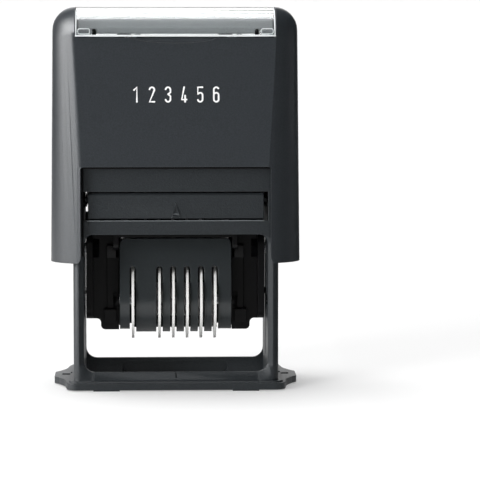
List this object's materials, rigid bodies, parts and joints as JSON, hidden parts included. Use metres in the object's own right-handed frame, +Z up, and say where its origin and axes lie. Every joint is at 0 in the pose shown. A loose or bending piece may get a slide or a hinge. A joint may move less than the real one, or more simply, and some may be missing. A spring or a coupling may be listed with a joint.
{
  "type": "self-inking number stamp",
  "caption": "Self-inking number stamp: a sprung casing slides down a frame and turns a unit of number wheels from the ink pad to the paper.",
  "frame": {"origin": "middle of the base, on the surface that the stamp stands on", "axes": "+X to the right as seen from the front, -Y towards the front, +Z up along the stroke"},
  "size_m": [0.0686, 0.0412, 0.1043],
  "materials": {
    "casing_plastic": "fine satin moulding, dark grey",
    "frame_plastic": "fine spark-eroded grain, dark grey",
    "cover_plastic": "satin moulding, dark grey",
    "dark_plastic": "satin moulding, near black",
    "disc_plastic": "white moulding with a knurled rim",
    "band_rubber": "moulded rubber, near black",
    "pad_felt": "ink-soaked felt, blue black",
    "plain_steel": "bright drawn steel",
    "clear_plastic": "clear polished moulding",
    "index_paper": "grey card"
  },
  "bodies": {
    "frame": {"lower_frame": "frame_plastic", "return_spring_left": "plain_steel", "return_spring_right": "plain_steel"},
    "casing": {"casing": "casing_plastic", "index_card": "index_paper", "yoke": "dark_plastic"},
    "index_window": {"index_window": "clear_plastic"},
    "lock_button_left": {"lock_button_left": "dark_plastic"},
    "lock_button_right": {"lock_button_right": "dark_plastic"},
    "pad_cassette": {"pad_cassette": "frame_plastic", "ink_pad": "pad_felt"},
    "number_unit": {"carrier": "dark_plastic", "wheel_cover": "cover_plastic", "wheel_axle": "plain_steel", "platen": "dark_plastic", "pivot_pin_left": "plain_steel", "pivot_pin_right": "plain_steel", "number_band_1": "band_rubber", "number_band_2": "band_rubber", "number_band_3": "band_rubber", "number_band_4": "band_rubber", "number_band_5": "band_rubber", "number_band_6": "band_rubber"},
    "number_wheel_1": {"number_wheel_1": "disc_plastic"},
    "number_wheel_2": {"number_wheel_2": "disc_plastic"},
    "number_wheel_3": {"number_wheel_3": "disc_plastic"},
    "number_wheel_4": {"number_wheel_4": "disc_plastic"},
    "number_wheel_5": {"number_wheel_5": "disc_plastic"},
    "number_wheel_6": {"number_wheel_6": "disc_plastic"}
  },
  "joints": [
    {"name": "press", "type": "slide", "parent": "frame", "child": "casing", "axis": [0, 0, -1], "range_m": [0, 0.0283], "stiffness_N_per_m": 350, "springref_m": -0.012, "deforming": ["return_spring_left", "return_spring_right"]},
    {"name": "unit_turn", "type": "hinge", "parent": "casing", "child": "number_unit", "pos_m": [0, 0, 0.0375], "axis": [1, 0, 0], "range_deg": [-180, 0]},
    {"name": "pad_slide", "type": "slide", "parent": "frame", "child": "pad_cassette", "axis": [0, -1, 0], "range_m": [0, 0.042]},
    {"name": "window_lift", "type": "slide", "parent": "casing", "child": "index_window", "axis": [0, 0, 1], "range_m": [0, 0.02]},
    {"name": "lock_left", "type": "slide", "parent": "casing", "child": "lock_button_left", "axis": [1, 0, 0], "range_m": [0, 0.0012], "stiffness_N_per_m": 400, "springref_m": -0.001},
    {"name": "lock_right", "type": "slide", "parent": "casing", "child": "lock_button_right", "axis": [-1, 0, 0], "range_m": [0, 0.0012], "stiffness_N_per_m": 400, "springref_m": -0.001},
    {"name": "wheel_turn_1", "type": "hinge", "parent": "number_unit", "child": "number_wheel_1", "pos_m": [0, 0, 0.0231], "axis": [1, 0, 0], "continuous": true},
    {"name": "wheel_turn_2", "type": "hinge", "parent": "number_unit", "child": "number_wheel_2", "pos_m": [0, 0, 0.0231], "axis": [1, 0, 0], "continuous": true},
    {"name": "wheel_turn_3", "type": "hinge", "parent": "number_unit", "child": "number_wheel_3", "pos_m": [0, 0, 0.0231], "axis": [1, 0, 0], "continuous": true},
    {"name": "wheel_turn_4", "type": "hinge", "parent": "number_unit", "child": "number_wheel_4", "pos_m": [0, 0, 0.0231], "axis": [1, 0, 0], "continuous": true},
    {"name": "wheel_turn_5", "type": "hinge", "parent": "number_unit", "child": "number_wheel_5", "pos_m": [0, 0, 0.0231], "axis": [1, 0, 0], "continuous": true},
    {"name": "wheel_turn_6", "type": "hinge", "parent": "number_unit", "child": "number_wheel_6", "pos_m": [0, 0, 0.0231], "axis": [1, 0, 0], "continuous": true}
  ],
  "couplings": [
    {"joint": "unit_turn", "follows": "press", "rad_per_m": -111}
  ]
}
